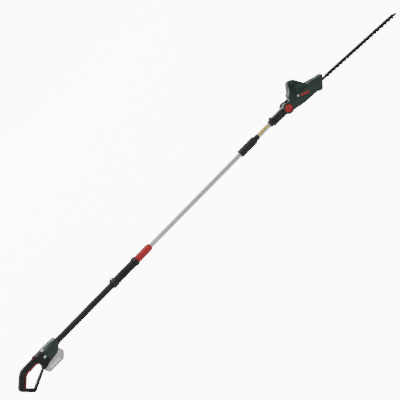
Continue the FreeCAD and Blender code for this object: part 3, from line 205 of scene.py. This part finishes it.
def filmFinish():
    # a printed vinyl band: yellow on the upper half of the tube with a few plain dark bars, clear below it
    look = {"yellow": "#D2BC2E", "yellowLight": "#E6D65A", "clear": "#C9CACA", "ink": "#1C1B1A", "grainMm": 1.0,
            "rough": 0.36, "edgeMm": 0.5, "barMm": 7.0, "barHalfMm": 1.9, "barHighMm": 5.2, "barTallMm": 2.6,
            "barsAtMm": 18.0, "barsHalfMm": 16.0}
    material, tree, shader = newMaterial("printedVinylBand")
    place = addNode(tree, "ShaderNodeTexCoord").outputs["Object"]
    axis = centreOf("head_tube")
    centred = addNode(tree, "ShaderNodeMapping", {"Location": (-axis.x, -axis.y, -axis.z)}, {"Vector": place})
    parts = addNode(tree, "ShaderNodeSeparateXYZ", links={0: centred.outputs[0]})
    tone = addNode(tree, "ShaderNodeTexNoise", {"Scale": perMetre(look["grainMm"]), "Detail": 3.0},
                   {"Vector": place})
    yellow = addNode(tree, "ShaderNodeMix", {"data_type": "RGBA", 6: linearColour(look["yellow"]),
                                             7: linearColour(look["yellowLight"])}, {0: tone.outputs["Fac"]})
    # the printed half starts a little above the tube's middle on the near side
    rise = addNode(tree, "ShaderNodeMath", {"operation": "GREATER_THAN", 1: look["edgeMm"] * mm},
                   {0: parts.outputs["Z"]})
    half = addNode(tree, "ShaderNodeMix", {"data_type": "RGBA", 6: linearColour(look["clear"])},
                   {0: rise.outputs[0], 7: yellow.outputs[2]})
    bars = addNode(tree, "ShaderNodeMath", {"operation": "PINGPONG", 1: look["barMm"] * mm},
                   {0: parts.outputs["X"]})
    thin = addNode(tree, "ShaderNodeMath", {"operation": "LESS_THAN", 1: look["barHalfMm"] * mm},
                   {0: bars.outputs[0]})
    low = addNode(tree, "ShaderNodeMath", {"operation": "COMPARE", 1: look["barHighMm"] * mm,
                                           2: look["barTallMm"] * mm}, {0: parts.outputs["Z"]})
    span = addNode(tree, "ShaderNodeMath", {"operation": "COMPARE", 1: look["barsAtMm"] * mm,
                                            2: look["barsHalfMm"] * mm}, {0: parts.outputs["X"]})
    inked = addNode(tree, "ShaderNodeMath", {"operation": "MULTIPLY"}, {0: thin.outputs[0], 1: low.outputs[0]})
    inked = addNode(tree, "ShaderNodeMath", {"operation": "MULTIPLY"}, {0: inked.outputs[0], 1: span.outputs[0]})
    colour = addNode(tree, "ShaderNodeMix", {"data_type": "RGBA", 7: linearColour(look["ink"])},
                     {0: inked.outputs[0], 6: half.outputs[2]})
    tree.links.new(colour.outputs[2], shader.inputs["Base Color"])
    shader.inputs["Roughness"].default_value = look["rough"]
    return material


finishes = {
    # the housings: bottle green, near black in shade, with a soft sheen along the rims
    "green": mouldedFinish("spotTexturedGreenNylon", {"dark": "#152B24", "light": "#1D372F", "toneMm": 45,
                                                      "grainMm": 0.9, "rough": 0.38, "bump": 0.08}),
    # neck, collars and coupling: black with a narrow highlight
    "black": mouldedFinish("satinBlackNylon", {"dark": "#121113", "light": "#1A191B", "toneMm": 40, "grainMm": 0.8,
                                               "rough": 0.4, "bump": 0.08}),
    # grips: flat black that spreads the light
    "rubber": mouldedFinish("blackSoftGripRubber", {"dark": "#100F10", "light": "#181718", "toneMm": 25,
                                                    "grainMm": 0.7, "rough": 0.68, "bump": 0.6}),
    # what the hand works: clear red, a little glossy
    "red": mouldedFinish("satinRedAbs", {"dark": "#A20B12", "light": "#B8141A", "toneMm": 30, "grainMm": 0.8,
                                         "rough": 0.34, "bump": 0.15, "coat": 0.15}),
    # the grip's inlay: the same red, dull and darker
    "redSoft": mouldedFinish("redSoftInlayRubber", {"dark": "#8A0A12", "light": "#A01219", "toneMm": 25,
                                                    "grainMm": 0.7, "rough": 0.6, "bump": 0.4}),
    # the small plates: pale against the green
    "plate": mouldedFinish("paleInlayAbs", {"dark": "#C3CCC8", "light": "#D9DFDC", "toneMm": 12, "grainMm": 0.6,
                                            "rough": 0.38, "bump": 0.1}),
    # the outer tube: dull black with one soft streak of light
    "powder": mouldedFinish("blackPowderCoat", {"dark": "#0C0C0D", "light": "#131314", "toneMm": 60,
                                                "grainMm": 0.6, "rough": 0.6, "bump": 0.1}),
    # the ring in each tilt button: a darker line on the red
    "redDark": mouldedFinish("deepRedAbs", {"dark": "#6E070C", "light": "#820B11", "toneMm": 12, "grainMm": 0.6,
                                            "rough": 0.4, "bump": 0.1}),
    # the band: yellow above, clear below, with plain dark bars
    "film": filmFinish(),
    # bushes, fan and plugs: warm off-white
    "nylon": mouldedFinish("naturalNylon", {"dark": "#B9B6AA", "light": "#CDCABF", "toneMm": 20, "grainMm": 0.7,
                                            "rough": 0.5, "bump": 0.2}),
    # the controller board: deep green with a slight shine
    "board": mouldedFinish("greenSolderMask", {"dark": "#0E3A20", "light": "#15502D", "toneMm": 6, "grainMm": 0.5,
                                               "rough": 0.35, "bump": 0.1}),
    # the battery case: pale grey, matt
    "pack": mouldedFinish("paleGreyAbs", {"dark": "#BDBBBE", "light": "#CDCBCD", "toneMm": 35, "grainMm": 0.8,
                                          "rough": 0.48, "bump": 0.2}),
    # the rim round its side panel: a step darker
    "packRim": mouldedFinish("greyRimAbs", {"dark": "#8E8C90", "light": "#9C9A9E", "toneMm": 20, "grainMm": 0.8,
                                            "rough": 0.5, "bump": 0.2}),
    # the side panel: nearly white
    "packPanel": mouldedFinish("whitePanelAbs", {"dark": "#F2F1F2", "light": "#FDFDFD", "toneMm": 20,
                                                 "grainMm": 0.8, "rough": 0.42, "bump": 0.15}),
    # the cells: bluish grey film
    "wrap": mouldedFinish("cellShrinkFilm", {"dark": "#9FA7B3", "light": "#B7BEC8", "toneMm": 18, "grainMm": 0.6,
                                             "rough": 0.3, "bump": 0.1}),
    # inner and head tubes: bright satin with lines along the pole
    "tube": metalFinish("satinAnodisedAluminium", {"dark": "#C4C4C1", "light": "#E2E1DE", "grainMm": 0.9,
                                                   "stretch": (0.03, 1, 1), "rough": 0.34, "bump": 0.2,
                                                   "metal": 1.0}),
    # pins, springs and gears: plain bright steel
    "steel": metalFinish("groundSteel", {"dark": "#8A8C8F", "light": "#A6A8AB", "grainMm": 0.8,
                                         "stretch": (1, 1, 0.2), "rough": 0.3, "bump": 0.2, "metal": 1.0}),
    # the gearbox: grainy light grey metal
    "cast": metalFinish("dieCastAlloy", {"dark": "#8E8F8F", "light": "#A7A8A7", "grainMm": 1.0,
                                         "stretch": (1, 1, 1), "rough": 0.5, "bump": 0.5, "metal": 1.0}),
    # screws: dark metal that takes a small glint; the motor can takes the same dark colour as painted shade, so
    # the vents read dark
    "screw": metalFinish("blackenedScrewSteelAndPaintedShade", {"dark": "#1C1C1E", "light": "#323235", "grainMm": 0.6,
                                                 "stretch": (1, 1, 1), "rough": 0.38, "bump": 0.2, "metal": 0.9}),
    # the spine bar: dark satin, lined along the bar
    "bar": metalFinish("blackAnodisedBar", {"dark": "#29292B", "light": "#3B3B3D", "grainMm": 1.0,
                                            "stretch": (0.05, 1, 1), "rough": 0.4, "bump": 0.2, "metal": 0.8}),
    # the toothed blades: dark skin with paler tooth bevels
    "blade": bladeFinish(),
}

paint(["rear_shell_left", "rear_shell_right", "head_shell_left", "head_shell_right"], finishes["green"])
paint(["strap_collar", "clamp_body", "coupling_nut", "tube_collar", "neck_shell_left", "neck_shell_right",
       "coupling_socket", "trigger_switch", "battery_terminals", "motor_cap"], finishes["black"])
paint(["soft_grip", "front_grip"], finishes["rubber"])
paint(["trigger", "lock_off_button", "clamp_sleeve", "tilt_button_left", "tilt_button_right", "head_badge",
       "battery_release"], finishes["red"])
paint(["grip_inlay"], finishes["redSoft"])
paint(["side_badges", "head_dot"], finishes["plate"])
paint(["outer_tube"], finishes["powder"])
paint(["inner_tube", "head_tube"], finishes["tube"])
paint(["tube_band"], finishes["film"])
paint(["glide_bush", "clamp_collet", "motor_fan", "connector_plug", "connector_socket"], finishes["nylon"])
paint(["controller_board"], finishes["board"])
paint(["housing_screws", "neck_screws", "head_screws", "gearbox_screws"], finishes["screw"])
paint(["trigger_spring", "lock_off_spring", "tilt_spring_left", "tilt_spring_right", "tilt_pin", "lock_rings",
       "drive_gear", "pinion", "gear_bearings", "base_plate", "motor_rotor"], finishes["steel"])
# painted shade: the motor can is coloured dark so the housing's inside, seen through the vents, reads dark
paint(["motor_can"], finishes["screw"])
paint(["gearbox_housing"], finishes["cast"])
paint(["blade_spine"], finishes["bar"])
paint(["upper_blade", "lower_blade", "blade_bolts"], finishes["blade"])
paint(["battery_case"], finishes["pack"])
paint(["battery_cells"], finishes["wrap"])
print("finishes on the CAD nodes")

# softened housings: the same shells with their mould edges broken, so seams and rims catch the light
softened = {"nodes": ["rear_shell_left", "rear_shell_right", "head_shell_left", "head_shell_right",
                      "neck_shell_left", "neck_shell_right", "battery_case"],
            "edgeMm": 0.5, "segments": 2, "sharpDeg": 32, "mergeMm": 0.004, "flatDeg": 0.5,
            "caseInMm": 0.6}


def softenHousing(node, look):
    bm = bmesh.new()
    bm.from_mesh(nodes[node].data)
    low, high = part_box(node)
    if node == "battery_case":  # drawn in a little, so that its panels stay within the CAD case
        bmesh.ops.scale(bm, vec=(1, 1 - 2 * look["caseInMm"] * mm / (high.y - low.y), 1), verts=bm.verts)
    bmesh.ops.remove_doubles(bm, verts=bm.verts, dist=look["mergeMm"] * mm)
    bmesh.ops.dissolve_limit(bm, angle_limit=math.radians(look["flatDeg"]), verts=bm.verts, edges=bm.edges)
    mesh = bpy.data.meshes.new(node + "Soft")
    for face in bm.faces:
        face.smooth = True
        face.material_index = 0
    bm.to_mesh(mesh)
    bm.free()
    piece = bpy.data.objects.new(node + "Soft", mesh)
    bpy.context.scene.collection.objects.link(piece)
    mesh.materials.append(nodes[node].data.materials[0])
    edge = piece.modifiers.new("brokenEdge", "BEVEL")
    edge.width = look["edgeMm"] * mm
    edge.segments = look["segments"]
    edge.limit_method = "ANGLE"
    edge.angle_limit = math.radians(look["sharpDeg"])
    edge.harden_normals = True
    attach(piece, nodes[node]["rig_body"])
    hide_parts(node)


for node in softened["nodes"]:
    softenHousing(node, softened)
print("softened housings")

# battery pack: a raised panel and its rim on each side
packPanel = {"lengthMm": 72, "heightMm": 17, "cornerMm": 5, "rimMm": 3.2, "rimProudMm": 0.25, "panelProudMm": 0.5,
             "riseMm": 9.5, "sunkMm": 0.6, "cornerSteps": 6}


def roundedPlate(centre, lengthMm, heightMm, cornerMm, sideY, proudMm):
    # a thin plate on the pack's side, made from a grid with its corners rounded, then given its thickness
    bm = bmesh.new()
    bmesh.ops.create_grid(bm, x_segments=1, y_segments=1, size=0.5)
    bmesh.ops.scale(bm, vec=(lengthMm * mm, heightMm * mm, 1), verts=bm.verts)
    bmesh.ops.bevel(bm, geom=bm.verts[:], offset=cornerMm * mm, segments=packPanel["cornerSteps"],
                    affect="VERTICES", profile=0.5, material=-1)
    bmesh.ops.rotate(bm, cent=(0, 0, 0), matrix=Matrix.Rotation(math.radians(90), 3, "X"), verts=bm.verts)
    grown = bmesh.ops.extrude_face_region(bm, geom=bm.faces[:])
    verts = [v for v in grown["geom"] if isinstance(v, bmesh.types.BMVert)]
    bmesh.ops.translate(bm, vec=(0, sideY * (proudMm + packPanel["sunkMm"]) * mm, 0), verts=verts)
    bmesh.ops.translate(bm, vec=centre - Vector((0, sideY * packPanel["sunkMm"] * mm, 0)), verts=bm.verts)
    return bm


packLow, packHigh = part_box("battery_case")
cellsLow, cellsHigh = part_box("battery_cells")
for sideName, sideY in (("Left", 1), ("Right", -1)):
    faceY = (packHigh.y if sideY > 0 else packLow.y) - sideY * softened["caseInMm"] * mm
    middleZ = packLow.z + (packPanel["riseMm"] + packPanel["heightMm"] / 2) * mm
    centre = Vector(((cellsLow.x + cellsHigh.x) / 2, faceY, middleZ))
    rim = roundedPlate(centre, packPanel["lengthMm"] + 2 * packPanel["rimMm"],
                       packPanel["heightMm"] + 2 * packPanel["rimMm"],
                       packPanel["cornerMm"] + packPanel["rimMm"], sideY, packPanel["rimProudMm"])
    finishPiece("packRim" + sideName, rim, finishes["packRim"], "battery_case")
    panel = roundedPlate(centre, packPanel["lengthMm"], packPanel["heightMm"], packPanel["cornerMm"], sideY,
                         packPanel["panelProudMm"])
    finishPiece("packPanel" + sideName, panel, finishes["packPanel"], "battery_case")
print("battery panels")

# tilt buttons: a low ring moulded in the dish of each
buttonRing = {"ringMm": 8.5, "ringWideMm": 1.6, "proudMm": 0.5, "sunkMm": 0.6, "crownMm": 0.3, "crownShare": 0.6,
              "dishMm": 1.55, "steps": 40}


def spunRing(centre, sideY, look):
    # a low ring with a rounded crown, its section spun round the button's axis
    bm = bmesh.new()
    inner, outer = look["ringMm"] - look["ringWideMm"], look["ringMm"]
    low, high = -look["sunkMm"], look["proudMm"]
    shoulder, crown = high * look["crownShare"], look["crownMm"]
    section = [(inner, low), (inner, shoulder), (inner + crown, high), (outer - crown, high), (outer, shoulder),
               (outer, low)]
    verts = [bm.verts.new((r * mm, sideY * h * mm, 0)) for r, h in section]
    edges = [bm.edges.new((verts[i], verts[(i + 1) % len(verts)])) for i in range(len(verts))]
    bmesh.ops.spin(bm, geom=verts + edges, cent=(0, 0, 0), axis=(0, 1, 0), angle=math.tau,
                   steps=look["steps"], use_merge=True)
    bmesh.ops.translate(bm, vec=centre, verts=bm.verts)
    return bm


for sideName, sideY, node in (("Left", 1, "tilt_button_left"), ("Right", -1, "tilt_button_right")):
    low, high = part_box(node)
    centre = (low + high) / 2
    centre.y = (high.y if sideY > 0 else low.y) - sideY * buttonRing["dishMm"] * mm
    ring = spunRing(centre, sideY, buttonRing)
    finishPiece("buttonRing" + sideName, ring, finishes["redDark"], node)
print("button rings")

# camera, floor and light
viewLook = {"lensMm": 560, "sensorMm": 36, "widthM": 1.913, "azimuth": -12, "elevation": 16, "roll": 42.18,
            "alongM": 1.2687, "dropM": -0.0160, "clipM": 100}
stageLook = {"sizeM": 30, "gapM": 0.001, "fill": 0.28, "glow": 10.0, "paper": "#E4E4E4", "paperRough": 0.9,
             "lamps": [("keyLight", (-1.5, -3.0, 4.0), (4, 2), 130), ("topLight", (0.4, 1.2, 3.2), (4, 1.2), 85),
                       ("rimLight", (-0.4, 4.0, 1.5), (5, 1.1), 110)]}


def setCamera(look):
    rear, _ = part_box("rear_shell_left")
    axis = centreOf("outer_tube")
    target = Vector((rear.x + look["alongM"], axis.y, axis.z + look["dropM"]))
    az, el, roll = (math.radians(look[k]) for k in ("azimuth", "elevation", "roll"))
    right = Vector((math.cos(az), math.sin(az), 0.0))
    away = Vector((math.sin(az) * math.cos(el), -math.cos(az) * math.cos(el), math.sin(el)))
    up = away.cross(right)
    camRight = right * math.cos(roll) - up * math.sin(roll)
    camUp = right * math.sin(roll) + up * math.cos(roll)
    distance = look["widthM"] * look["lensMm"] / look["sensorMm"]
    data = bpy.data.cameras.new("mainCamera")
    data.lens = look["lensMm"]
    data.sensor_width = look["sensorMm"]
    data.clip_end = look["clipM"]
    camera = bpy.data.objects.new("mainCamera", data)
    bpy.context.scene.collection.objects.link(camera)
    turn = Matrix((camRight, camUp, away)).transposed()
    camera.matrix_world = Matrix.Translation(target + away * distance) @ turn.to_4x4()
    bpy.context.scene.camera = camera
    return target


target = setCamera(viewLook)


def setStage(look):
    bm = bmesh.new()
    bmesh.ops.create_grid(bm, x_segments=1, y_segments=1, size=look["sizeM"])
    mesh = bpy.data.meshes.new("floor")
    bm.to_mesh(mesh)
    bm.free()
    floor = bpy.data.objects.new("floor", mesh)
    bpy.context.scene.collection.objects.link(floor)
    floor.location = (0, 0, cadLow[2] - look["gapM"])
    material, tree, shader = newMaterial("whitePaperSweep")
    seen = addNode(tree, "ShaderNodeLightPath").outputs["Is Camera Ray"]  # a lit sweep: bright to look at
    glow = addNode(tree, "ShaderNodeMath", {"operation": "MULTIPLY", 1: look["glow"]}, {0: seen})
    tree.links.new(glow.outputs[0], shader.inputs["Emission Strength"])
    shader.inputs["Emission Color"].default_value = linearColour("#FFFFFF")
    shader.inputs["Base Color"].default_value = linearColour(look["paper"])
    shader.inputs["Roughness"].default_value = look["paperRough"]
    mesh.materials.append(material)
    world = bpy.data.worlds.new("studio")
    world.use_nodes = True
    world.node_tree.nodes["Background"].inputs["Color"].default_value = linearColour("#FFFFFF")
    world.node_tree.nodes["Background"].inputs["Strength"].default_value = look["fill"]
    bpy.context.scene.world = world
    for name, place, size, watts in look["lamps"]:
        data = bpy.data.lights.new(name, "AREA")
        data.shape = "RECTANGLE"
        data.size, data.size_y = size
        data.energy = watts
        lamp = bpy.data.objects.new(name, data)
        lamp.location = target + Vector(place)
        lamp.rotation_euler = (target - lamp.location).to_track_quat("-Z", "Y").to_euler()
        bpy.context.scene.collection.objects.link(lamp)


setStage(stageLook)
print("camera and stage")
